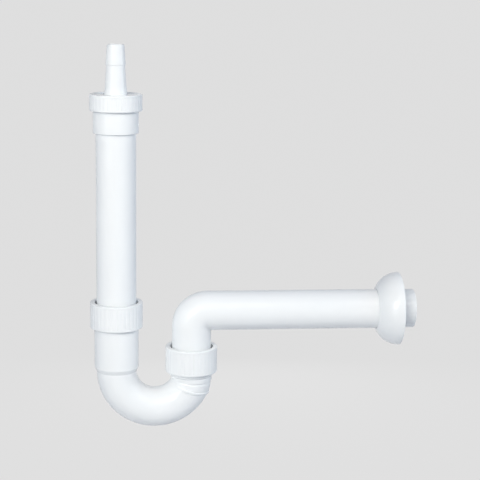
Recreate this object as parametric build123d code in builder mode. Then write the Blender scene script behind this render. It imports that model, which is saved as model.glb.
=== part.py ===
from build123d import *
from math import cos, radians, sin
import os

os.makedirs("parts", exist_ok=True)

# Tubular P-trap, in millimetres. The origin is the centre of the outlet pipe's wall end.
# X runs along the outlet run towards the wall, Z is up, and the pipes' axes lie in the XZ plane.

# Pipes
pipe_diameter = 40.0
pipe_wall = 1.8
outlet_run = 228.5
elbow_radius = 16.0
spigot_relief = 0.3
spigot_length = 25.0
arm_spacing = 76.0

# Trap bend
bend_oversize = 0.2
bend_wall = 2.0
bend_level = -61.5
crank_angle = 30.0
crank_clearance = 1.5
socket_clearance = 0.5
socket_wall = 1.9
inlet_taper = 4.5
inlet_stop_rise = 2.0
outlet_stop_rise = 4.15
leg_stop_gap = 0.35
seal_seat_depth = 6.0
seal_seat_edge = 0.5
band_step = 0.8
band_height = 3.75
band_taper = 1.5
band_turn = 4.0
sleeve_step = 0.3
sleeve_turn = 26.0
lip_step = 0.8
lip_turn = 4.0

# Compression nuts, one on each arm of the bend
nut_wall = 2.3
nut_height = 26.0
nut_flange = 3.0
nut_hole_gap = 1.0
nut_hole_chamfer = 1.2
nut_edge_round = 1.0
grip_inset = 0.1
grip_margin = 2.0
groove_count = 36
groove_width = 1.2
groove_depth = 0.3
thread_depth = 1.5
inlet_nut_top = 10.1
outlet_nut_top = -36.9

# Slip rings and wedge seals under the compression nuts
ring_thickness = 1.5
seal_height = 4.0
seal_tail = 4.0
running_gap = 0.3
seat_gap = 0.05

# Inlet pipe
inlet_insert = 33.0
head_step = 2.6
head_bottom = 181.0
head_height = 30.1
head_wall = 3.0
head_taper = 2.5
head_edge_round = 0.5

# Hose nozzle, its gasket and its union nut
gasket_thickness = 2.0
gasket_width = 4.0
nozzle_nut_wall = 1.8
nozzle_nut_height = 16.4
nozzle_nut_flange = 2.6
nozzle_nut_rim = 2.2
nozzle_nut_dish = 0.9
nozzle_hole_gap = 0.6
nozzle_flange = 3.4
nozzle_base_diameter = 23.0
nozzle_base_height = 8.0
nozzle_lower_diameter = 21.5
nozzle_neck_diameter = 18.4
nozzle_neck_height = 30.8
nozzle_barb_diameter = 19.9
nozzle_tip_diameter = 17.0
nozzle_tip_height = 50.8
nozzle_tip_round = 0.8
nozzle_bore_diameter = 13.0

# Wall rosette
rosette_diameter = 75.0
rosette_depth = 23.5
rosette_wall = 1.6
rosette_land = 1.2
rosette_lip = 0.5
rosette_setback = 15.2
rosette_edge_round = 0.6

# Axes and radii that follow
leg_x = -outlet_run
inlet_x = leg_x - arm_spacing
pipe_radius = pipe_diameter / 2
pipe_bore = pipe_radius - pipe_wall
socket_bore = pipe_radius + socket_clearance
socket_radius = socket_bore + socket_wall
tube_radius = pipe_radius + bend_oversize
tube_bore = tube_radius - bend_wall
band_radius = tube_radius + band_step
sleeve_radius = tube_radius + sleeve_step
lip_radius = sleeve_radius + lip_step
crank_radius = lip_radius + crank_clearance
crank_cos = cos(radians(crank_angle))
bend_radius = (arm_spacing - crank_radius * (1 - crank_cos)) / (1 + crank_cos)
outlet_arm_level = bend_level - (bend_radius - crank_radius) * sin(radians(crank_angle))
nut_bore = socket_radius + thread_depth + running_gap
nut_radius = nut_bore + nut_wall
ring_bore = pipe_radius + running_gap
seat_mouth = socket_radius - seal_seat_edge
joint_stack = nut_flange + ring_thickness + seal_height + 3 * seat_gap
inlet_socket_top = inlet_nut_top - joint_stack
outlet_socket_top = outlet_nut_top - joint_stack
outlet_socket_end = outlet_arm_level + band_height
outlet_stop = outlet_arm_level + outlet_stop_rise
leg_bottom = outlet_stop + leg_stop_gap
inlet_plane = Plane(origin=(inlet_x, 0, 0), x_dir=(1, 0, 0), z_dir=(0, -1, 0))
leg_plane = Plane(origin=(leg_x, 0, 0), x_dir=(1, 0, 0), z_dir=(0, -1, 0))
inlet_axis = Axis((inlet_x, 0, 0), (0, 0, 1))
leg_axis = Axis((leg_x, 0, 0), (0, 0, 1))


def cranked_rod(radius):
    """A solid rod down the leg, round the tight elbow and along the run to the wall end."""
    corner = Axis((leg_x + elbow_radius, 0, -elbow_radius), (0, 1, 0))
    with BuildPart() as rod:
        with BuildSketch(Plane.YZ.offset(leg_x + elbow_radius)):
            Circle(radius)
        extrude(amount=outlet_run - elbow_radius)
        with BuildSketch(Plane.XY.offset(-elbow_radius)):
            with Locations((leg_x, 0)):
                Circle(radius)
        extrude(amount=leg_bottom + elbow_radius)
        with BuildSketch(Plane.YZ.offset(leg_x + elbow_radius)):
            Circle(radius)
            with Locations((0, -elbow_radius)):
                Rectangle(2 * radius, radius, align=(Align.CENTER, Align.MAX), mode=Mode.SUBTRACT)
        revolve(axis=corner, revolution_arc=-90)
    return rod.part


# Outlet pipe: leg, elbow and run in one moulding, with a slightly slimmer wall spigot
outlet_outside = cranked_rod(pipe_radius)
outlet_inside = cranked_rod(pipe_bore)
with BuildPart() as outlet_pipe:
    add(outlet_outside)
    add(outlet_inside, mode=Mode.SUBTRACT)
    with BuildSketch(Plane.YZ):
        Circle(pipe_radius)
        Circle(pipe_radius - spigot_relief, mode=Mode.SUBTRACT)
    extrude(amount=-spigot_length, mode=Mode.SUBTRACT)
outlet_pipe.part.label = "outlet_pipe"
export_step(outlet_pipe.part, "parts/outlet_pipe.step")

# Trap bend: long inlet socket, bend, short outlet socket and the cranked sleeve under it
bend_axis = Axis((inlet_x + bend_radius, 0, bend_level), (0, 1, 0))
crank_axis = Axis((leg_x - crank_radius, 0, outlet_arm_level), (0, 1, 0))
lip_start = sleeve_turn - lip_turn
lip_x = leg_x - crank_radius * (1 - cos(radians(lip_start)))
lip_level = outlet_arm_level - crank_radius * sin(radians(lip_start))
lip_plane = Plane((lip_x, 0, lip_level)).rotated((0, lip_start, 0))
inlet_socket_end = bend_level + inlet_taper
inlet_stop = inlet_socket_end + inlet_stop_rise
with BuildPart() as trap_bend:
    # The outside: inlet arm, bend, outlet arm, then the crank with its band, its sleeve and its lip
    with BuildSketch(inlet_plane):
        with BuildLine():
            Polyline(
                (0, inlet_socket_top),
                (socket_radius, inlet_socket_top),
                (socket_radius, inlet_socket_end),
                (tube_radius, bend_level),
                (0, bend_level),
                close=True,
            )
        make_face()
    revolve(axis=inlet_axis)
    with BuildSketch(Plane.XY.offset(bend_level)):
        with Locations((inlet_x, 0)):
            Circle(tube_radius)
    revolve(axis=bend_axis, revolution_arc=crank_angle - 180)
    with BuildSketch(leg_plane):
        with BuildLine():
            Polyline(
                (0, outlet_socket_top),
                (socket_radius, outlet_socket_top),
                (socket_radius, outlet_socket_end),
                (band_radius, outlet_socket_end - band_taper),
                (band_radius, outlet_arm_level),
                (0, outlet_arm_level),
                close=True,
            )
        make_face()
    revolve(axis=leg_axis)
    crank_steps = ((tube_radius, crank_angle), (sleeve_radius, sleeve_turn), (band_radius, band_turn))
    for step_radius, step_turn in crank_steps:
        with BuildSketch(Plane.XY.offset(outlet_arm_level)):
            with Locations((leg_x, 0)):
                Circle(step_radius)
        revolve(axis=crank_axis, revolution_arc=step_turn)
    with BuildSketch(lip_plane):
        Circle(lip_radius)
    revolve(axis=crank_axis, revolution_arc=lip_turn)
    # The waterway: inlet socket with its seal seat, bend, crank, and outlet socket with its seal seat
    with BuildSketch(inlet_plane):
        with BuildLine():
            Polyline(
                (0, inlet_socket_top),
                (seat_mouth, inlet_socket_top),
                (socket_bore, inlet_socket_top - seal_seat_depth),
                (socket_bore, inlet_stop),
                (tube_bore, bend_level),
                (0, bend_level),
                close=True,
            )
        make_face()
    revolve(axis=inlet_axis, mode=Mode.SUBTRACT)
    with BuildSketch(Plane.XY.offset(bend_level)):
        with Locations((inlet_x, 0)):
            Circle(tube_bore)
    revolve(axis=bend_axis, revolution_arc=crank_angle - 180, mode=Mode.SUBTRACT)
    with BuildSketch(Plane.XY.offset(outlet_arm_level)):
        with Locations((leg_x, 0)):
            Circle(tube_bore)
    revolve(axis=crank_axis, revolution_arc=crank_angle, mode=Mode.SUBTRACT)
    with BuildSketch(leg_plane):
        with BuildLine():
            Polyline(
                (0, outlet_socket_top),
                (seat_mouth, outlet_socket_top),
                (socket_bore, outlet_socket_top - seal_seat_depth),
                (socket_bore, outlet_stop),
                (tube_bore, outlet_stop),
                (tube_bore, outlet_arm_level),
                (0, outlet_arm_level),
                close=True,
            )
        make_face()
    revolve(axis=leg_axis, mode=Mode.SUBTRACT)
trap_bend.part.label = "trap_bend"
export_step(trap_bend.part, "parts/trap_bend.step")

# Compression joints: a ribbed nut, a slip ring and a wedge seal at the top of each arm of the bend
arms = (
    ("inlet", inlet_plane, inlet_axis, inlet_nut_top, inlet_socket_top),
    ("outlet", leg_plane, leg_axis, outlet_nut_top, outlet_socket_top),
)
for arm, arm_plane, arm_axis, nut_top, socket_top in arms:
    nut_bottom = nut_top - nut_height
    nut_hole = pipe_radius + nut_hole_gap
    with BuildPart() as nut:
        with BuildSketch(arm_plane) as nut_profile:
            with BuildLine():
                Polyline(
                    (nut_hole + nut_hole_chamfer, nut_top),
                    (nut_radius, nut_top),
                    (nut_radius, nut_top - grip_margin),
                    (nut_radius - grip_inset, nut_top - grip_margin),
                    (nut_radius - grip_inset, nut_bottom + grip_margin),
                    (nut_radius, nut_bottom + grip_margin),
                    (nut_radius, nut_bottom),
                    (nut_bore, nut_bottom),
                    (nut_bore, nut_top - nut_flange),
                    (nut_hole, nut_top - nut_flange),
                    (nut_hole, nut_top - nut_hole_chamfer),
                    close=True,
                )
            make_face()
            rims = nut_profile.vertices().group_by(Axis.X)[-1].sort_by(Axis.Y)
            fillet((rims[0], rims[-1]), nut_edge_round)
        revolve(axis=arm_axis)
        with BuildSketch(Plane.XY.offset(nut_bottom + grip_margin)):
            with Locations((arm_plane.origin.X, 0)):
                with PolarLocations(nut_radius - grip_inset, groove_count):
                    Rectangle(2 * groove_depth, groove_width)
        extrude(amount=nut_height - 2 * grip_margin, mode=Mode.SUBTRACT)
    nut.part.label = arm + "_nut"
    export_step(nut.part, "parts/" + arm + "_nut.step")

    ring_top = nut_top - nut_flange - seat_gap
    with BuildPart() as slip_ring:
        with BuildSketch(arm_plane):
            with BuildLine():
                Polyline(
                    (ring_bore, ring_top),
                    (socket_radius, ring_top),
                    (socket_radius, ring_top - ring_thickness),
                    (ring_bore, ring_top - ring_thickness),
                    close=True,
                )
            make_face()
        revolve(axis=arm_axis)
    slip_ring.part.label = arm + "_slip_ring"
    export_step(slip_ring.part, "parts/" + arm + "_slip_ring.step")

    seal_bottom = socket_top + seat_gap
    seat_slope = (seat_mouth - socket_bore) / seal_seat_depth
    with BuildPart() as seal:
        with BuildSketch(arm_plane):
            with BuildLine():
                Polyline(
                    (ring_bore, seal_bottom + seal_height),
                    (socket_radius, seal_bottom + seal_height),
                    (socket_radius, seal_bottom),
                    (seat_mouth - running_gap, seal_bottom),
                    (seat_mouth - running_gap - seat_slope * seal_tail, seal_bottom - seal_tail),
                    (ring_bore, seal_bottom - seal_tail),
                    close=True,
                )
            make_face()
        revolve(axis=arm_axis)
    seal.part.label = arm + "_seal"
    export_step(seal.part, "parts/" + arm + "_seal.step")

# Inlet pipe: straight tube with a wider head that carries the union nut's thread
head_radius = pipe_radius + head_step
head_top = head_bottom + head_height
head_bore = head_radius - head_wall
inlet_bottom = inlet_socket_top - inlet_insert
with BuildPart() as inlet_pipe:
    with BuildSketch(inlet_plane) as inlet_profile:
        with BuildLine():
            Polyline(
                (pipe_bore, inlet_bottom),
                (pipe_radius, inlet_bottom),
                (pipe_radius, head_bottom),
                (head_radius, head_bottom),
                (head_radius, head_top),
                (head_bore, head_top),
                (head_bore, head_bottom + head_taper),
                (pipe_bore, head_bottom - head_taper),
                close=True,
            )
        make_face()
        head_edge = inlet_profile.vertices().group_by(Axis.Y)[-3].sort_by(Axis.X)[-1]
        fillet(head_edge, head_edge_round)
    revolve(axis=inlet_axis)
inlet_pipe.part.label = "inlet_pipe"
export_step(inlet_pipe.part, "parts/inlet_pipe.step")

# Nozzle gasket: flat washer on the head's rim
gasket_bottom = head_top + seat_gap
with BuildPart() as nozzle_gasket:
    with BuildSketch(Plane.XY.offset(gasket_bottom)):
        with Locations((inlet_x, 0)):
            Circle(head_radius)
            Circle(head_radius - gasket_width, mode=Mode.SUBTRACT)
    extrude(amount=gasket_thickness)
nozzle_gasket.part.label = "nozzle_gasket"
export_step(nozzle_gasket.part, "parts/nozzle_gasket.step")

# Hose nozzle: flange, base collar, lower cone and one barb up to the tip
flange_bottom = gasket_bottom + gasket_thickness + seat_gap
flange_top = flange_bottom + nozzle_flange
with BuildPart() as hose_nozzle:
    with BuildSketch(inlet_plane) as nozzle_profile:
        with BuildLine():
            Polyline(
                (nozzle_bore_diameter / 2, flange_bottom),
                (head_radius, flange_bottom),
                (head_radius, flange_top),
                (nozzle_base_diameter / 2, flange_top),
                (nozzle_lower_diameter / 2, flange_top + nozzle_base_height),
                (nozzle_neck_diameter / 2, flange_top + nozzle_neck_height),
                (nozzle_barb_diameter / 2, flange_top + nozzle_neck_height),
                (nozzle_tip_diameter / 2, flange_top + nozzle_tip_height),
                (nozzle_bore_diameter / 2, flange_top + nozzle_tip_height),
                close=True,
            )
        make_face()
        fillet(nozzle_profile.vertices().group_by(Axis.Y)[-1].sort_by(Axis.X)[-1], nozzle_tip_round)
    revolve(axis=inlet_axis)
hose_nozzle.part.label = "hose_nozzle"
export_step(hose_nozzle.part, "parts/hose_nozzle.step")

# Nozzle nut: short ribbed union nut with a dished top that holds the nozzle's flange down
nozzle_nut_top = flange_top + seat_gap + nozzle_nut_flange
nozzle_nut_bottom = nozzle_nut_top - nozzle_nut_height
nozzle_nut_bore = head_radius + thread_depth + running_gap
nozzle_nut_radius = nozzle_nut_bore + nozzle_nut_wall
nozzle_hole = nozzle_base_diameter / 2 + nozzle_hole_gap
with BuildPart() as nozzle_nut:
    with BuildSketch(inlet_plane) as nozzle_nut_profile:
        with BuildLine():
            Polyline(
                (nozzle_hole, nozzle_nut_top - nozzle_nut_dish),
                (nozzle_nut_radius - nozzle_nut_rim - nozzle_nut_dish, nozzle_nut_top - nozzle_nut_dish),
                (nozzle_nut_radius - nozzle_nut_rim, nozzle_nut_top),
                (nozzle_nut_radius, nozzle_nut_top),
                (nozzle_nut_radius, nozzle_nut_top - grip_margin),
                (nozzle_nut_radius - grip_inset, nozzle_nut_top - grip_margin),
                (nozzle_nut_radius - grip_inset, nozzle_nut_bottom + grip_margin),
                (nozzle_nut_radius, nozzle_nut_bottom + grip_margin),
                (nozzle_nut_radius, nozzle_nut_bottom),
                (nozzle_nut_bore, nozzle_nut_bottom),
                (nozzle_nut_bore, flange_top + seat_gap),
                (nozzle_hole, flange_top + seat_gap),
                close=True,
            )
        make_face()
        rims = nozzle_nut_profile.vertices().group_by(Axis.X)[-1].sort_by(Axis.Y)
        fillet((rims[0], rims[-1]), nut_edge_round)
    revolve(axis=inlet_axis)
    with BuildSketch(Plane.XY.offset(nozzle_nut_bottom + grip_margin)):
        with Locations((inlet_x, 0)):
            with PolarLocations(nozzle_nut_radius - grip_inset, groove_count):
                Rectangle(2 * groove_depth, groove_width)
    extrude(amount=nozzle_nut_height - 2 * grip_margin, mode=Mode.SUBTRACT)
nozzle_nut.part.label = "nozzle_nut"
export_step(nozzle_nut.part, "parts/nozzle_nut.step")

# Wall rosette: a domed cover whose arc runs out parallel to the pipe at the rim
rim_x = -rosette_setback
small_x = rim_x - rosette_depth
rosette_radius = rosette_diameter / 2
rosette_bore = pipe_radius + running_gap
with BuildPart() as wall_rosette:
    with BuildSketch(Plane.XZ) as rosette_profile:
        with BuildLine():
            outer_arc = TangentArc(
                (rim_x, rosette_radius), (small_x, rosette_bore + rosette_lip), tangent=(-1, 0)
            )
            Line(outer_arc @ 1, (small_x, rosette_bore))
            Line((small_x, rosette_bore), (small_x + rosette_land, rosette_bore))
            inner_arc = TangentArc(
                (rim_x, rosette_radius - rosette_wall),
                (small_x + rosette_land, rosette_bore),
                tangent=(-1, 0),
            )
            Line(inner_arc @ 0, outer_arc @ 0)
        make_face()
        fillet(rosette_profile.vertices().group_by(Axis.X)[-1], rosette_edge_round)
    revolve(axis=Axis.X)
wall_rosette.part.label = "wall_rosette"
export_step(wall_rosette.part, "parts/wall_rosette.step")
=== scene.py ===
import math
import bmesh
import bpy
import numpy as np
from mathutils import Matrix, Vector


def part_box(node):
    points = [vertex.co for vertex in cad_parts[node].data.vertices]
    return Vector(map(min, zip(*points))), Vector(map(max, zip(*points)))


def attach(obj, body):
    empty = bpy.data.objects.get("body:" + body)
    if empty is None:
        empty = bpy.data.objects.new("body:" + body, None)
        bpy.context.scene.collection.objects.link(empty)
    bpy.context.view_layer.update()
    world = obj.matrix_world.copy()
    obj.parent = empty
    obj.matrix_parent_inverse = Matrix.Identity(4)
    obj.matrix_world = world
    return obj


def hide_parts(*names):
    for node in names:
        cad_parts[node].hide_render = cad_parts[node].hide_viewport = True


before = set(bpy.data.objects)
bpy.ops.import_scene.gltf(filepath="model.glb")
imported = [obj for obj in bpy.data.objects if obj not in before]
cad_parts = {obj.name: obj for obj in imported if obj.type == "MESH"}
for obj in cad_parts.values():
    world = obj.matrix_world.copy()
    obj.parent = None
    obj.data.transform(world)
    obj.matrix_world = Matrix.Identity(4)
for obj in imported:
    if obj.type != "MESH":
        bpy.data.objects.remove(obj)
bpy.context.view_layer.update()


# Outlet pipe
# The leg, the tight elbow and the long run to the wall are one moulding in glossy white polypropylene.
# The last stretch of the run is slimmer and pushes into the waste socket in the wall.
mm = 0.001
around = 192
lap = np.linspace(0, 2 * np.pi, around, endpoint=False)
pipe_low, pipe_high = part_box("outlet_pipe")
pipe_radius = pipe_high.z
pipe_wall = 1.8 * mm
pipe_bore = pipe_radius - pipe_wall
leg_x = pipe_low.x + pipe_radius
leg_bottom = pipe_low.z
elbow_radius = 16 * mm
inner_corner_round = 0.7 * mm
spigot_relief = 0.3 * mm
spigot_length = 25 * mm
spigot_start = pipe_high.x - spigot_length
relief_round = 0.1 * mm
pipe_edge_round = 0.6 * mm
bore_edge_round = 0.3 * mm
end_stretch = 3 * mm
leg_rows, elbow_rows, run_rows = 11, 40, 28
merge_distance = 0.001 * mm
crease = math.radians(35)


def unit(vectors):
    """Each vector divided by its own length."""
    return vectors / np.linalg.norm(vectors, axis=-1, keepdims=True)


def rounded(corners, closed=True, arc_steps=6, lead=0.25 * mm):
    """A profile with rounded corners. Each corner is (across, along, round), and its arc's spokes turn
    evenly from the side that comes in to the side that goes out. A lead point on either side of an arc
    keeps the flat next to it flat. An open profile keeps its first and last points as they are."""
    points = np.array([corner[:2] for corner in corners], float)
    rounds = np.array([corner[2] for corner in corners], float)
    back = np.roll(points, 1, axis=0) - points
    ahead = np.roll(points, -1, axis=0) - points
    side = np.linalg.norm(ahead, axis=1)
    back = unit(back)
    ahead = unit(ahead)
    half = 0.5 * np.arccos(np.clip((back * ahead).sum(axis=1), -1, 1))
    tangent = rounds / np.tan(half)
    centre = points + unit(back + ahead) * (rounds / np.sin(half))[:, None]
    first = points + back * tangent[:, None] - centre
    last = points + ahead * tangent[:, None] - centre
    turn = (np.pi - 2 * half)[:, None, None]
    share = np.linspace(0, 1, arc_steps + 1)[None, :, None]
    spokes = np.sin((1 - share) * turn) * first[:, None] + np.sin(share * turn) * last[:, None]
    arcs = centre[:, None] + spokes / np.sin(turn)
    free = side - tangent - np.roll(tangent, -1)
    lead_out = np.minimum(lead, free / 3)
    lead_in = np.roll(lead_out, 1)
    before = points + back * (tangent + lead_in)[:, None]
    after = points + ahead * (tangent + lead_out)[:, None]
    whole = np.concatenate([before[:, None], arcs, after[:, None]], axis=1)
    if closed:
        return whole.reshape(-1, 2)
    return np.concatenate([points[:1], whole[1:-1].reshape(-1, 2), points[-1:]])


def skin(name, grid, finish):
    """A closed skin over a grid of points that runs back into itself both ways: each point is joined to
    the next one in its row and to the same two points in the next row. Points that fall on the same
    place become one."""
    index = np.arange(grid.shape[0] * grid.shape[1]).reshape(grid.shape[:2])
    beside = np.roll(index, -1, axis=1)
    quads = np.stack([index, beside, np.roll(beside, -1, axis=0), np.roll(index, -1, axis=0)], axis=-1)
    mesh = bpy.data.meshes.new(name)
    mesh.from_pydata(grid.reshape(-1, 3).tolist(), [], quads.reshape(-1, 4).tolist())
    merged = bmesh.new()
    merged.from_mesh(mesh)
    bmesh.ops.remove_doubles(merged, verts=merged.verts, dist=merge_distance)
    merged.to_mesh(mesh)
    merged.free()
    mesh.shade_smooth()
    mesh.set_sharp_from_angle(angle=crease)
    mesh.materials.append(finish)
    made = bpy.data.objects.new(name, mesh)
    bpy.context.scene.collection.objects.link(made)
    return made


def moulded_plastic(name, tone, cloud_tone, gloss, dull, peel):
    """Moulded plastic. Broad clouds of noise carry the colour from its tone to a slightly different one,
    smaller clouds carry the roughness from glossy to dull, and a fine noise bump is the mould's peel."""
    cloud_scale, sheen_scale, peel_scale = 24, 110, 600
    peel_height = 0.1 * mm
    finish = bpy.data.materials.new(name)
    finish.use_nodes = True
    nodes = finish.node_tree.nodes
    links = finish.node_tree.links
    shader = nodes["Principled BSDF"]
    shader.inputs["IOR"].default_value = 1.49
    shader.inputs["Specular IOR Level"].default_value = 0.3
    place = nodes.new("ShaderNodeTexCoord")

    def noise(scale, detail):
        texture = nodes.new("ShaderNodeTexNoise")
        texture.inputs["Scale"].default_value = scale
        texture.inputs["Detail"].default_value = detail
        links.new(place.outputs["Object"], texture.inputs["Vector"])
        return texture.outputs["Fac"]

    clouds = nodes.new("ShaderNodeMix")
    clouds.data_type = "RGBA"
    clouds.inputs["A"].default_value = (*tone, 1)
    clouds.inputs["B"].default_value = (*cloud_tone, 1)
    links.new(noise(cloud_scale, detail=3), clouds.inputs["Factor"])
    links.new(clouds.outputs["Result"], shader.inputs["Base Color"])
    sheen = nodes.new("ShaderNodeMapRange")
    sheen.inputs["From Min"].default_value = 0.3
    sheen.inputs["From Max"].default_value = 0.7
    sheen.inputs["To Min"].default_value = gloss
    sheen.inputs["To Max"].default_value = dull
    links.new(noise(sheen_scale, detail=4), sheen.inputs["Value"])
    links.new(sheen.outputs["Result"], shader.inputs["Roughness"])
    bump = nodes.new("ShaderNodeBump")
    bump.inputs["Strength"].default_value = peel
    bump.inputs["Distance"].default_value = peel_height
    links.new(noise(peel_scale, detail=2), bump.inputs["Height"])
    links.new(bump.outputs["Normal"], shader.inputs["Normal"])
    return finish


gloss_white = moulded_plastic(
    "gloss_white", (0.93, 0.95, 0.955), (0.90, 0.925, 0.935), gloss=0.07, dull=0.13, peel=0.1
)


def grid_of(x, y, z):
    """Three arrays of coordinates, spread to a common shape of rows and columns, as one grid of points."""
    return np.stack(np.broadcast_arrays(x, y, z), axis=-1)


def cranked(radius, leg_share, elbow_angle, run_share):
    """Rows of a round pipe that goes up the leg, round the elbow and along the run, at one radius.
    A line along the pipe at a given distance from the elbow's corner runs straight, turns a quarter
    circle of that distance and runs straight again. Lines that would turn inside the corner meet there
    in a small round of its own."""
    outward = radius * np.cos(lap)
    sideways = radius * np.sin(lap)
    from_corner = elbow_radius + outward
    bend = np.maximum(from_corner, inner_corner_round)
    centre_x = leg_x + elbow_radius - from_corner + bend
    centre_z = from_corner - bend - elbow_radius
    leg_start = leg_bottom + end_stretch
    leg_z = leg_start + leg_share[:, None] * (centre_z - leg_start)
    angle = elbow_angle[:, None]
    run_x = centre_x + run_share[:, None] * (spigot_start - end_stretch - centre_x)
    leg = grid_of(leg_x - outward, sideways, leg_z)
    elbow = grid_of(centre_x - bend * np.cos(angle), sideways, centre_z + bend * np.sin(angle))
    run = grid_of(run_x, sideways, outward)
    return np.concatenate([leg, elbow, run])


leg_end = rounded(
    [
        (pipe_bore, leg_bottom + end_stretch, 0),
        (pipe_bore, leg_bottom, bore_edge_round),
        (pipe_radius, leg_bottom, pipe_edge_round),
        (pipe_radius, leg_bottom + end_stretch, 0),
    ],
    closed=False,
)
run_end = rounded(
    [
        (pipe_radius, spigot_start - end_stretch, 0),
        (pipe_radius, spigot_start - spigot_relief, relief_round),
        (pipe_radius - spigot_relief, spigot_start, relief_round),
        (pipe_radius - spigot_relief, pipe_high.x, pipe_edge_round),
        (pipe_bore, pipe_high.x, bore_edge_round),
        (pipe_bore, spigot_start - end_stretch, 0),
    ],
    closed=False,
)
up_leg = np.linspace(0, 1, leg_rows + 1)[1:]
round_elbow = np.linspace(0, np.pi / 2, elbow_rows + 1)[1:]
along_run = np.linspace(0, 1, run_rows + 2)[1:-1]
outside = cranked(pipe_radius, up_leg, round_elbow, along_run)
inside = cranked(pipe_bore, up_leg, round_elbow, along_run)
leg_r, leg_z = leg_end[:, :1], leg_end[:, 1:]
run_r, run_x = run_end[:, :1], run_end[:, 1:]
leg_rim = grid_of(leg_x - leg_r * np.cos(lap), leg_r * np.sin(lap), leg_z)
run_rim = grid_of(run_x, run_r * np.sin(lap), run_r * np.cos(lap))
outlet_grid = np.concatenate([leg_rim, outside, run_rim, inside[::-1]])[:, ::-1]
outlet_pipe = skin("outlet_pipe_moulding", outlet_grid, gloss_white)
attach(outlet_pipe, "outlet_pipe")
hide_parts("outlet_pipe")


# Trap bend
# The bend with its long inlet socket, short outlet socket and cranked sleeve is one white moulding.
# Both sockets are threaded outside at the top, and coned inside for a wedge seal.
bend_low, bend_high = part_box("trap_bend")
socket_radius = bend_high.y
socket_wall = 1.9 * mm
socket_bore = socket_radius - socket_wall
inlet_x = bend_low.x + socket_radius
inlet_top = bend_high.z
outlet_top = inlet_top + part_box("outlet_nut")[1].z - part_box("inlet_nut")[1].z
bend_level = -61.5 * mm
inlet_socket_end = bend_level + 4.5 * mm
inlet_stop = inlet_socket_end + 2 * mm
tube_radius = pipe_radius + 0.2 * mm
tube_bore = tube_radius - 2 * mm
sleeve_radius = tube_radius + 0.3 * mm
lip_radius = sleeve_radius + 0.8 * mm
band_radius = tube_radius + 0.8 * mm
crank = math.radians(30)
crank_radius = lip_radius + 1.5 * mm
bend_radius = (leg_x - inlet_x - crank_radius * (1 - np.cos(crank))) / (1 + np.cos(crank))
outlet_level = bend_level - (bend_radius - crank_radius) * np.sin(crank)
outlet_socket_end = outlet_level + 3.75 * mm
outlet_stop = outlet_level + 4.15 * mm
band_taper = 1.5 * mm
seat_depth = 6 * mm
seat_mouth = socket_radius - 0.5 * mm
seat_slope = (seat_mouth - socket_bore) / seat_depth
seat_edge_round = 0.1 * mm
seat_foot_round = 0.5 * mm
outside_start, inside_end = 1 * mm, 1.2 * mm
bend_lead = 0.6 * mm
socket_round = 0.4 * mm
step_round = 0.15 * mm
wall_row = 3 * mm
thread_pitch = 2.309 * mm
thread_depth = 1.4 * mm
thread_row = 0.3 * mm
thread_length = 13.5 * mm
thread_lead = 0.4 * mm
ridge_half, ridge_flank = 0.3, 0.2
tolerance = 0.01 * mm
sleeve_groove_depth = 0.5 * mm
sleeve_groove_round = 0.1 * mm
lip_groove_run, band_groove_run = 1.6 * mm, 2.5 * mm
sleeve_row = 0.7 * mm
inside_fade_end, inside_fade_span = -0.8, 0.6
bend_outside_rows, bend_bore_rows, crank_rows = 43, 50, 15


def filled_in(profile, longest):
    """An open profile with points added on its sides, evenly on each, so that no step is too long."""
    steps = np.diff(profile, axis=0)
    count = np.maximum(1, np.ceil(np.linalg.norm(steps, axis=1) / longest)).astype(int)
    side = np.repeat(np.arange(len(steps)), count)
    share = (np.arange(count.sum()) - np.repeat(np.cumsum(count) - count, count)) / count[side]
    return np.concatenate([profile[side] + share[:, None] * steps[side], profile[-1:]])


def thread(height, angle, bottom, top, phase):
    """How far a screw thread's ridge stands up, from 0 to 1. The turns climbed are the height over the
    pitch less the angle over a full turn, and the ridge is a soft trapezium round each whole turn, its
    half width and flanks being shares of a turn. It fades out over a turn's height at both ends."""
    turns = height / thread_pitch - angle / (2 * np.pi) + phase
    flank = np.clip((ridge_half - np.abs(turns - np.round(turns))) / ridge_flank, 0, 1)
    fade_in = np.clip((height - bottom) / thread_pitch, 0, 1)
    fade_out = np.clip((top - height) / thread_pitch, 0, 1)
    return flank * flank * (3 - 2 * flank) * fade_in * fade_out


def lathed(profile, axis_x, side=1):
    """A profile of radius and height, turned once about an upright axis. The side is 1 for rows that start
    on the right, as at the outlet arm, and -1 for rows that start on the left, as at the inlet arm."""
    radius, height = profile[:, :1], profile[:, 1:]
    return grid_of(axis_x + side * radius * np.cos(lap), radius * np.sin(lap), height)


def threaded_arm(corners, axis_x, side, top):
    """Rows of an arm's outside, from its mouth down. Its rows lie close together over the thread's length,
    where the thread's ridge is added to the socket's radius."""
    profile = filled_in(rounded(corners, closed=False), wall_row)
    above = np.count_nonzero(profile[:, 1] > top - thread_length)
    profile = np.concatenate([filled_in(profile[:above + 1], thread_row), profile[above + 1:]])
    radius, height = profile[:, :1], profile[:, 1:]
    angle = np.arctan2(np.sin(lap), side * np.cos(lap))
    ridge = thread(height, angle, top - thread_length, top - thread_lead, phase=0)
    radius = radius + np.where(radius > socket_radius - tolerance, thread_depth * ridge, 0)
    return grid_of(axis_x + side * radius * np.cos(lap), radius * np.sin(lap), height)


def sections(centre_x, centre_z, turn, radius):
    """Rows of points round a curved centre line. Each row is a circle of one radius in a plane turned by
    the given angle from the inlet arm's level, and it starts on the bend's outer side."""
    along = radius * np.cos(lap)
    x = centre_x[:, None] - along * np.cos(turn)[:, None]
    z = centre_z[:, None] - along * np.sin(turn)[:, None]
    return grid_of(x, radius * np.sin(lap), z)


def round_bend(turn, radius):
    """Rows along the bend, an arc about the bend's centre that starts below the inlet arm."""
    x = inlet_x + bend_radius * (1 - np.cos(turn))
    return sections(x, bend_level - bend_radius * np.sin(turn), turn, radius)


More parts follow.
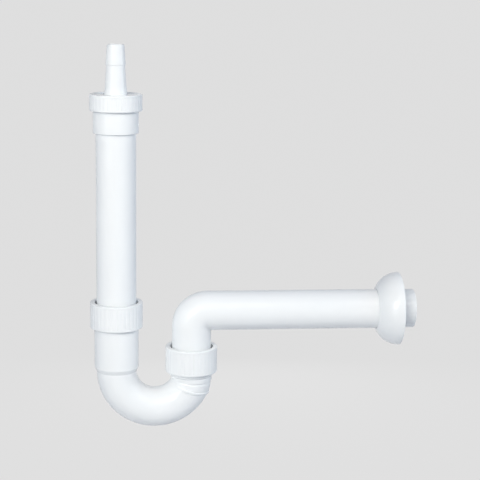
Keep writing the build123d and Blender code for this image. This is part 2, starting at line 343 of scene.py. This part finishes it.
def round_crank(turn, radius):
    """Rows along the crank, an arc back to the outlet arm's axis, by the turn that is left to its top."""
    x = leg_x - crank_radius * (1 - np.cos(turn))
    return sections(x, outlet_level - crank_radius * np.sin(turn), np.pi - turn, radius)


def ring_round(right, front):
    """A ring round the outlet side: the turn from upright at each column, from its degrees on the right and
    in front. It grows evenly with one less the cosine of the column's angle from the right."""
    return np.radians(right + (front - right) * (1 - np.cos(lap)))


def sleeve(profile, places, rings):
    """Rows up the outlet side, from the bend to the outlet arm's foot. A profile point's turn at each
    column lies between the turns of two rings, as far along as its place lies between theirs. The centre
    line is the crank's arc, and past the crank the bend's. Only the top band stands out all round. Below
    it, what stands out fades with the cosine of the column's angle towards the inside of the bend."""
    radius, place = profile[:, :1], profile[:, 1]
    ring = np.clip(np.searchsorted(places, place, side="right") - 1, 0, len(places) - 2)
    share = (place - places[ring]) / (places[ring + 1] - places[ring])
    turn = rings[ring] + share[:, None] * (rings[ring + 1] - rings[ring])
    faded = np.clip((np.cos(lap) - inside_fade_end) / inside_fade_span, 0, 1)
    standing = np.where(place[:, None] > places[1], faded, 1)
    radius = tube_radius + standing * (radius - tube_radius)
    on_crank = turn < crank
    crank_x = leg_x - crank_radius * (1 - np.cos(turn))
    bend_x = inlet_x + bend_radius * (1 + np.cos(turn))
    crank_z = outlet_level - crank_radius * np.sin(turn)
    bend_z = bend_level - bend_radius * np.sin(turn)
    x = np.where(on_crank, crank_x, bend_x)
    z = np.where(on_crank, crank_z, bend_z)
    along = radius * np.cos(lap)
    return grid_of(x + along * np.cos(turn), radius * np.sin(lap), z - along * np.sin(turn))


inlet_outside = threaded_arm(
    [
        (seat_mouth - seat_slope * outside_start, inlet_top - outside_start, 0),
        (seat_mouth, inlet_top, seat_edge_round),
        (socket_radius, inlet_top, step_round),
        (socket_radius, inlet_socket_end, socket_round),
        (tube_radius, bend_level, socket_round),
        (tube_radius, bend_level - bend_lead, 0),
    ],
    inlet_x,
    side=-1,
    top=inlet_top,
)
sleeve_rings = [(0, 0), (2.7, 5.2), (19.4, 26.5), (21.8, 31), (52, 52)]
sleeve_places = np.array([0, 2, 10.5, 12.5, 26]) * mm
band_top, band_foot, lip_top, lip_foot, sleeve_foot = sleeve_places
sleeve_turn = math.radians(sleeve_rings[-1][0])
bend_outside = round_bend(np.linspace(0, np.pi - sleeve_turn, bend_outside_rows + 1)[1:], tube_radius)
sleeve_profile = rounded(
    [
        (tube_radius, sleeve_foot, 0),
        (tube_radius, lip_foot + lip_groove_run, 0.5 * mm),
        (tube_radius - sleeve_groove_depth, lip_foot, sleeve_groove_round),
        (lip_radius, lip_foot, 0.25 * mm),
        (lip_radius, lip_top, 0.3 * mm),
        (sleeve_radius, lip_top, sleeve_groove_round),
        (sleeve_radius, band_foot + band_groove_run, 1 * mm),
        (tube_radius - sleeve_groove_depth, band_foot, sleeve_groove_round),
        (band_radius, band_foot, step_round),
        (band_radius, band_top, 0),
    ],
    closed=False,
)
sleeve_profile = filled_in(sleeve_profile, sleeve_row)[1:]
ring_turns = np.array([ring_round(*ring) for ring in sleeve_rings])
crank_outside = sleeve(sleeve_profile, sleeve_places, ring_turns)
outlet_outside = threaded_arm(
    [
        (seat_mouth - seat_slope * outside_start, outlet_top - outside_start, 0),
        (seat_mouth, outlet_top, seat_edge_round),
        (socket_radius, outlet_top, step_round),
        (socket_radius, outlet_socket_end, socket_round),
        (band_radius, outlet_socket_end - band_taper, socket_round),
        (band_radius, outlet_level, 0),
    ],
    leg_x,
    side=1,
    top=outlet_top,
)[::-1]
outlet_inside = rounded(
    [
        (seat_mouth - seat_slope * inside_end, outlet_top - inside_end, 0),
        (socket_bore, outlet_top - seat_depth, seat_foot_round),
        (socket_bore, outlet_stop, step_round),
        (tube_bore, outlet_stop, step_round),
        (tube_bore, outlet_level, 0),
    ],
    closed=False,
)
outlet_bore = lathed(filled_in(outlet_inside, wall_row), leg_x)
crank_bore = round_crank(np.linspace(0, crank, crank_rows + 1)[1:], tube_bore)
bend_turns = np.linspace(0, np.pi - crank, bend_bore_rows + 1)
bend_bore = round_bend(bend_turns[-2:1:-1], tube_bore)
inlet_inside = rounded(
    [
        (tube_bore, bend_level - bend_lead, 0),
        (tube_bore, bend_level, step_round),
        (socket_bore, inlet_stop, socket_round),
        (socket_bore, inlet_top - seat_depth, seat_foot_round),
        (seat_mouth - seat_slope * inside_end, inlet_top - inside_end, 0),
    ],
    closed=False,
)
inlet_bore = lathed(filled_in(inlet_inside, wall_row), inlet_x, side=-1)
bend_rows = [
    inlet_outside,
    bend_outside,
    crank_outside,
    outlet_outside,
    outlet_bore,
    crank_bore,
    bend_bore,
    inlet_bore,
]
trap_bend = skin("trap_bend_moulding", np.concatenate(bend_rows), gloss_white)
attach(trap_bend, "trap_bend")
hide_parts("trap_bend")


# Wedge seals and slip rings
# A black rubber wedge seal sits in each socket's cone, and a thin white ring lies on it round the seal's
# lip, so that the nut can turn without dragging the rubber. Both are slipped over the pipe before the nut.
ring_bore = pipe_radius + 0.3 * mm
seal_height = 4 * mm
# The seal's lip stands up inside the slip ring's bore, so its black rubber shows as a dark ring in the gap
# under the nut's hole. It is a real rubber lip that also serves as painted shade in that gap.
seal_lip_and_gap_shade = 0.9 * mm
lip_room = 0.1 * mm
wedge_toe = 0.35 * mm
seat_room = 0.3 * mm
small_round = 0.2 * mm
tight_round = small_round / 4
seal_rubber = moulded_plastic(
    "seal_rubber", (0.018, 0.018, 0.019), (0.03, 0.03, 0.031), gloss=0.5, dull=0.72, peel=0.5
)
ring_plastic = moulded_plastic(
    "ring_plastic", (0.80, 0.82, 0.83), (0.74, 0.76, 0.77), gloss=0.42, dull=0.55, peel=0.3
)


for end, axis_x in (("inlet", inlet_x), ("outlet", leg_x)):
    seal_low, seal_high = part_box(end + "_seal")
    ring_low, ring_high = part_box(end + "_slip_ring")
    shoulder = seal_high.z - seal_height
    seal_profile = rounded(
        [
            (ring_bore, seal_low.z, small_round),
            (ring_bore + wedge_toe, seal_low.z, tight_round),
            (seat_mouth - seat_room, shoulder, small_round),
            (socket_radius, shoulder, small_round),
            (socket_radius, seal_high.z, small_round),
            # The lip's inner side and top: the black rubber seen in the gap under the nut, partly painted
            # shade.
            (ring_bore + seal_lip_and_gap_shade, seal_high.z, tight_round),
            (ring_bore + seal_lip_and_gap_shade, ring_high.z - lip_room, small_round),
            (ring_bore, ring_high.z - lip_room, small_round),
        ]
    )
    seal = skin(end + "_seal_moulding", lathed(seal_profile, axis_x), seal_rubber)
    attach(seal, end + "_seal")
    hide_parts(end + "_seal")
    lip_side = ring_bore + seal_lip_and_gap_shade + lip_room
    ring_profile = rounded(
        [
            (lip_side, ring_low.z, small_round),
            (socket_radius, ring_low.z, small_round),
            (socket_radius, ring_high.z, small_round),
            (lip_side, ring_high.z, small_round),
        ]
    )
    ring = skin(end + "_slip_ring_moulding", lathed(ring_profile, axis_x), ring_plastic)
    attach(ring, end + "_slip_ring")
    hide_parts(end + "_slip_ring")


# Compression nuts
# A white nut with fine upright grip ribs screws down over each socket's thread and squeezes the ring
# and the seal against the pipe. It is one moulding, threaded inside, with a plain rim at both edges.
grip_ribs = 36
grip_margin = 2 * mm
grip_inset = 0.1 * mm
groove_depth = 0.2 * mm
groove_floor, groove_edge = 0.75, 1.9
groove_columns = np.array([-3.3, -1.9, -1.3, -0.75, 0, 0.75, 1.3, 1.9, 3.3, 5])
nut_flange = 3 * mm
nut_bore = socket_radius + 1.8 * mm
nut_radius = nut_bore + 2.3 * mm
nut_hole = pipe_radius + 1.9 * mm
nut_edge_round = 1 * mm
bore_round = 0.4 * mm
nut_thread_row = 0.25 * mm
nut_thread_start, nut_thread_stop = 1 * mm, 4 * mm


def ribbed_wall(radius, low, high):
    """Corners of a nut's outside, from its lower edge up: an inset wall between two plain rims."""
    return [
        (radius, low, nut_edge_round),
        (radius, low + grip_margin, 0),
        (radius - grip_inset, low + grip_margin, 0),
        (radius - grip_inset, high - grip_margin, 0),
        (radius, high - grip_margin, 0),
        (radius, high, nut_edge_round),
    ]


def ribbed_nut(corners, axis_x, wall_radius, bore, thread_bottom, thread_top):
    """A closed profile of radius and height turned about an upright axis, from the bore's lower edge up the
    outside. Columns lie close together at each groove, by degrees from its middle. The groove's depth falls
    off evenly between the edges of its floor and of its mouth, and only the inset wall is grooved. Inside,
    a screw thread stands in from the bore, half a turn out of step with the thread that it runs on."""
    profile = rounded(corners)
    profile = np.concatenate([profile, filled_in(profile[[-1, 0]], nut_thread_row)[1:-1]])
    radius, height = profile[:, :1], profile[:, 1:]
    place = np.tile(groove_columns, grip_ribs)
    angle = np.radians(place + np.repeat(np.arange(grip_ribs), len(groove_columns)) * 360 / grip_ribs)
    groove = np.clip((groove_edge - np.abs(place)) / (groove_edge - groove_floor), 0, 1)
    low, high = height.min() + grip_margin, height.max() - grip_margin
    inset_wall = np.abs(radius - wall_radius + grip_inset) < tolerance
    grooved = inset_wall & (height > low - tolerance) & (height < high + tolerance)
    ridge = thread(height, angle, thread_bottom, thread_top, phase=0.5)
    sunk = np.where(grooved, groove_depth * groove, 0)
    raised = np.where(np.abs(radius - bore) < tolerance, thread_depth * ridge, 0)
    radius = radius - sunk - raised
    return grid_of(axis_x + radius * np.cos(angle), radius * np.sin(angle), height)


for end, axis_x in (("inlet", inlet_x), ("outlet", leg_x)):
    nut_low, nut_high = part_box(end + "_nut")
    under_flange = nut_high.z - nut_flange
    nut_grid = ribbed_nut(
        [
            (nut_bore, nut_low.z, bore_round),
            *ribbed_wall(nut_radius, nut_low.z, nut_high.z),
            (nut_hole, nut_high.z, bore_round),
            (nut_hole, under_flange, step_round),
            (nut_bore, under_flange, step_round),
        ],
        axis_x,
        nut_radius,
        nut_bore,
        nut_low.z + nut_thread_start,
        under_flange - nut_thread_stop,
    )
    nut = skin(end + "_nut_moulding", nut_grid, gloss_white)
    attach(nut, end + "_nut")
    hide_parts(end + "_nut")


# Inlet pipe
# A straight white tube that slides in the inlet socket. Its head is wider, threaded outside at the top,
# and opens with a short cone inside. A flat rubber washer lies on the head's rim.
inlet_low, inlet_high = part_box("inlet_pipe")
head_radius = inlet_high.y
head_bore = head_radius - 3 * mm
head_bottom = 181 * mm
head_cone = 2.5 * mm
head_thread = 7 * mm
head_edge_round = 0.3 * mm
head_foot_round = 0.5 * mm
cone_round = 1 * mm
tube_profile = rounded(
    [
        (pipe_bore, inlet_low.z, bore_edge_round),
        (pipe_radius, inlet_low.z, pipe_edge_round),
        (pipe_radius, head_bottom, head_edge_round),
        (head_radius, head_bottom, head_foot_round),
        (head_radius, inlet_high.z, head_edge_round),
        (head_bore, inlet_high.z, head_edge_round),
        (head_bore, head_bottom + head_cone, cone_round),
        (pipe_bore, head_bottom - head_cone, cone_round),
    ]
)
tube_profile = filled_in(np.concatenate([tube_profile, tube_profile[:1]]), wall_row)[:-1]
in_thread = (tube_profile[:, 0] > head_radius - tolerance).nonzero()[0]
below, above = in_thread[0], in_thread[-1] + 1
head_profile = filled_in(tube_profile[below:above], thread_row)
tube_profile = np.concatenate([tube_profile[:below], head_profile, tube_profile[above:]])
tube_r, tube_z = tube_profile[:, :1], tube_profile[:, 1:]
head_ridge = thread(tube_z, lap, inlet_high.z - head_thread, inlet_high.z - thread_lead, phase=0)
tube_r = tube_r + np.where(tube_r > head_radius - tolerance, thread_depth * head_ridge, 0)
tube_grid = grid_of(inlet_x + tube_r * np.cos(lap), tube_r * np.sin(lap), tube_z)
inlet_pipe = skin("inlet_pipe_moulding", tube_grid, gloss_white)
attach(inlet_pipe, "inlet_pipe")
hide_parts("inlet_pipe")

gasket_low, gasket_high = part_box("nozzle_gasket")
gasket_hole = head_radius - 4 * mm
gasket_profile = rounded(
    [
        (gasket_hole, gasket_low.z, small_round),
        (head_radius, gasket_low.z, small_round),
        (head_radius, gasket_high.z, small_round),
        (gasket_hole, gasket_high.z, small_round),
    ]
)
gasket = skin("nozzle_gasket_washer", lathed(gasket_profile, inlet_x), seal_rubber)
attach(gasket, "inlet_pipe")
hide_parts("nozzle_gasket")


# Hose nozzle
# The nozzle for an appliance's hose: a flange that lies on the washer, a short collar, a lower cone and
# one barb that narrows to the tip, moulded in white with a straight bore.
nozzle_low, nozzle_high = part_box("hose_nozzle")
flange_top = nozzle_low.z + 3.4 * mm
nozzle_bore = 6.5 * mm
collar_radius = 11.5 * mm
collar_top = flange_top + 8 * mm
lower_radius = 10.75 * mm
barb_level = flange_top + 30.8 * mm
neck_radius = 9.2 * mm
barb_radius = 9.95 * mm
tip_radius = 8.5 * mm
nozzle_profile = rounded(
    [
        (nozzle_bore, nozzle_low.z, 0.4 * mm),
        (head_radius, nozzle_low.z, 0.3 * mm),
        (head_radius, flange_top, 0.4 * mm),
        (collar_radius, flange_top, 0.5 * mm),
        (lower_radius, collar_top, 1.5 * mm),
        (neck_radius, barb_level, 0.2 * mm),
        (barb_radius, barb_level, 0.2 * mm),
        (tip_radius, nozzle_high.z, 0.8 * mm),
        (nozzle_bore, nozzle_high.z, 0.5 * mm),
    ]
)
nozzle_profile = filled_in(np.concatenate([nozzle_profile, nozzle_profile[:1]]), wall_row)[:-1]
nozzle = skin("hose_nozzle_moulding", lathed(nozzle_profile, inlet_x), gloss_white)
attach(nozzle, "hose_nozzle")
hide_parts("hose_nozzle")


# Nozzle nut
# A short white union nut with the same grip ribs. Its top is dished inside a narrow rim, and its flange
# presses the nozzle and the washer down on the inlet pipe's head.
cap_low, cap_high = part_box("nozzle_nut")
cap_bore = head_radius + 1.8 * mm
cap_radius = cap_bore + 1.8 * mm
cap_rim = 2.2 * mm
cap_dish = 0.9 * mm
cap_hole = collar_radius + 0.6 * mm
under_cap = flange_top + 0.05 * mm
cap_thread_start = 0.6 * mm
cap_grid = ribbed_nut(
    [
        (cap_bore, cap_low.z, bore_round),
        *ribbed_wall(cap_radius, cap_low.z, cap_high.z),
        (cap_radius - cap_rim, cap_high.z, step_round),
        (cap_radius - cap_rim - cap_dish, cap_high.z - cap_dish, step_round),
        (cap_hole, cap_high.z - cap_dish, step_round),
        (cap_hole, under_cap, step_round),
        (cap_bore, under_cap, step_round),
    ],
    inlet_x,
    cap_radius,
    cap_bore,
    cap_low.z + cap_thread_start,
    inlet_high.z,
)
nozzle_nut = skin("nozzle_nut_moulding", cap_grid, gloss_white)
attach(nozzle_nut, "nozzle_nut")
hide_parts("nozzle_nut")


# Wall rosette
# A thin domed cover that slides along the pipe up to the wall and hides the hole round the socket.
# Its dome is an arc that runs out level with the pipe at the open rim.
rosette_low, rosette_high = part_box("wall_rosette")
rim_x = rosette_high.x
small_x = rosette_low.x
rosette_radius = 37.5 * mm
rosette_wall = 1.6 * mm
rosette_land = 1.2 * mm
rosette_lip = 0.5 * mm
rim_round = 0.6 * mm
rim_share, dome_rows = 0.04, 41


def dome(start_r, end_r, end_x, share):
    """Points of an arc that starts level at the rim and ends at the given radius and place. The arc's own
    radius is the sum of the squares of its depth and its drop, over twice the drop."""
    depth = rim_x - end_x
    drop = start_r - end_r
    arc = (depth ** 2 + drop ** 2) / (2 * drop)
    angle = share * math.atan2(depth, arc - drop)
    return np.stack([start_r - arc + arc * np.cos(angle), rim_x - arc * np.sin(angle)], axis=-1)


sweep = np.linspace(rim_share, 1, dome_rows)
dome_outside = dome(rosette_radius, ring_bore + rosette_lip, small_x, sweep)
dome_inside = dome(rosette_radius - rosette_wall, ring_bore, small_x + rosette_land, sweep)
rim = rounded(
    [
        (*dome_outside[0], 0),
        (rosette_radius, rim_x, rim_round),
        (rosette_radius - rosette_wall, rim_x, rim_round),
        (*dome_inside[0], 0),
    ],
    closed=False,
)
small_end = rounded(
    [
        (*dome_inside[-1], 0),
        (ring_bore, small_x, step_round),
        (*dome_outside[-1], 0),
    ],
    closed=False,
)
rosette_profile = np.concatenate([dome_outside[:0:-1], rim, dome_inside[1:], small_end[1:-1]])
rosette_r, rosette_x = rosette_profile[:, :1], rosette_profile[:, 1:]
rosette_grid = grid_of(rosette_x, rosette_r * np.cos(lap), rosette_r * np.sin(lap))
rosette = skin("wall_rosette_moulding", rosette_grid, gloss_white)
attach(rosette, "wall_rosette")
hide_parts("wall_rosette")


# Camera
# It stands a little above the trap and left of its middle, looks slightly down and to the right through
# a long lens, and rolls by less than a degree. The picture is square.
camera_data = bpy.data.cameras.new("photo_camera")
camera_data.sensor_width = 36
camera_data.lens = 100.94
camera = bpy.data.objects.new("photo_camera", camera_data)
bpy.context.scene.collection.objects.link(camera)
camera_place = Vector((-0.31826, -1.32467, 0.33646))
yaw, pitch, roll = np.radians([5.95, 11.202, 0.814])
upright = Vector((0, 0, 1))
level_ahead = Vector((math.sin(yaw), math.cos(yaw), 0))
level_right = Vector((math.cos(yaw), -math.sin(yaw), 0))
view = level_ahead * math.cos(pitch) - upright * math.sin(pitch)
view_up = upright * math.cos(pitch) + level_ahead * math.sin(pitch)
camera_right = level_right * math.cos(roll) + view_up * math.sin(roll)
camera_up = view_up * math.cos(roll) - level_right * math.sin(roll)
turned = Matrix((camera_right, camera_up, -view)).transposed()
camera.matrix_world = Matrix.Translation(camera_place) @ turned.to_4x4()
bpy.context.scene.camera = camera


# Studio
# A plain pale floor lies well below the hanging trap, and floor and surroundings show one even grey.
# Soft boxes light the trap: a key and two more from the front left, two from the right, one from behind.
floor_level = -0.7
floor_half = 60
floor_tone = (0.7, 0.7, 0.7, 1)
floor_roughness = 0.9
backdrop_grey = (0.745, 0.744, 0.744, 1)
surround_grey = (0.738, 0.738, 0.738, 1)
ambient_tone = (0.07, 0.10, 0.18, 1)
grey_on_floor = 0.985
trap_middle = Vector((-0.17, 0, 0.05))
box_distance = 2.3


def show_backdrop(tree, lit, flat, share):
    """Mixes a flat grey over the lit surface for camera, glossy and transmission rays, which see it as the
    background. The largest of the three ray outputs, times the share, is the mix."""
    nodes, links = tree.nodes, tree.links
    paths = nodes.new("ShaderNodeLightPath")
    ray = paths.outputs["Is Camera Ray"]
    for other in ("Is Glossy Ray", "Is Transmission Ray"):
        larger = nodes.new("ShaderNodeMath")
        larger.operation = "MAXIMUM"
        links.new(ray, larger.inputs[0])
        links.new(paths.outputs[other], larger.inputs[1])
        ray = larger.outputs["Value"]
    amount = nodes.new("ShaderNodeMath")
    amount.operation = "MULTIPLY"
    amount.inputs[1].default_value = share
    links.new(ray, amount.inputs[0])
    mix = nodes.new("ShaderNodeMixShader")
    links.new(amount.outputs["Value"], mix.inputs["Fac"])
    links.new(lit, mix.inputs[1])
    links.new(flat, mix.inputs[2])
    output = next(node for node in nodes if node.type.startswith("OUTPUT"))
    links.new(mix.outputs["Shader"], output.inputs["Surface"])


floor_mesh = bpy.data.meshes.new("floor")
floor_sides = ((-1, -1), (1, -1), (1, 1), (-1, 1))
floor_corners = [(x * floor_half, y * floor_half, floor_level) for x, y in floor_sides]
floor_mesh.from_pydata(floor_corners, [], [(0, 1, 2, 3)])
floor = bpy.data.objects.new("floor", floor_mesh)
bpy.context.scene.collection.objects.link(floor)
floor_finish = bpy.data.materials.new("pale_floor")
floor_finish.use_nodes = True
floor_paint = floor_finish.node_tree.nodes["Principled BSDF"]
floor_paint.inputs["Base Color"].default_value = floor_tone
floor_paint.inputs["Roughness"].default_value = floor_roughness
floor_grey = floor_finish.node_tree.nodes.new("ShaderNodeEmission")
floor_grey.inputs["Color"].default_value = backdrop_grey
show_backdrop(
    floor_finish.node_tree, floor_paint.outputs["BSDF"], floor_grey.outputs["Emission"], grey_on_floor
)
floor_mesh.materials.append(floor_finish)

world = bpy.data.worlds.new("studio")
bpy.context.scene.world = world
world.use_nodes = True
ambient = world.node_tree.nodes["Background"]
ambient.inputs["Color"].default_value = ambient_tone
surround = world.node_tree.nodes.new("ShaderNodeBackground")
surround.inputs["Color"].default_value = surround_grey
show_backdrop(world.node_tree, ambient.outputs["Background"], surround.outputs["Background"], share=1)


def soft_box(name, azimuth, elevation, power, colour, size):
    """A square lamp aimed at the middle of the trap, from an azimuth counted from the front to the right
    and an elevation, both in degrees."""
    lamp_data = bpy.data.lights.new(name, "AREA")
    lamp_data.energy = power
    lamp_data.size = size
    lamp_data.color = colour
    lamp = bpy.data.objects.new(name, lamp_data)
    bpy.context.scene.collection.objects.link(lamp)
    turn, rise = math.radians(azimuth), math.radians(elevation)
    away = Vector((math.sin(turn) * math.cos(rise), -math.cos(turn) * math.cos(rise), math.sin(rise)))
    lamp.location = trap_middle + box_distance * away
    lamp.rotation_euler = (-away).to_track_quat("-Z", "Y").to_euler()
    return lamp


soft_box("key_box", azimuth=-31, elevation=22, power=21, colour=(1, 0.975, 0.915), size=0.9)
soft_box("left_box", azimuth=-45, elevation=10, power=9.7, colour=(0.92, 0.97, 1), size=1.3)
soft_box("top_box", azimuth=-10, elevation=40, power=10.5, colour=(0.98, 0.93, 0.75), size=1.3)
soft_box("right_box", azimuth=40, elevation=35, power=14.5, colour=(1, 0.91, 0.84), size=1.3)
soft_box("side_box", azimuth=75, elevation=20, power=14.5, colour=(0.72, 0.88, 1), size=1.3)
back_box = soft_box("back_box", azimuth=174, elevation=-6, power=30, colour=(1, 1, 1), size=0.6)
back_box.visible_glossy = False

bpy.context.scene.view_settings.view_transform = "Standard"
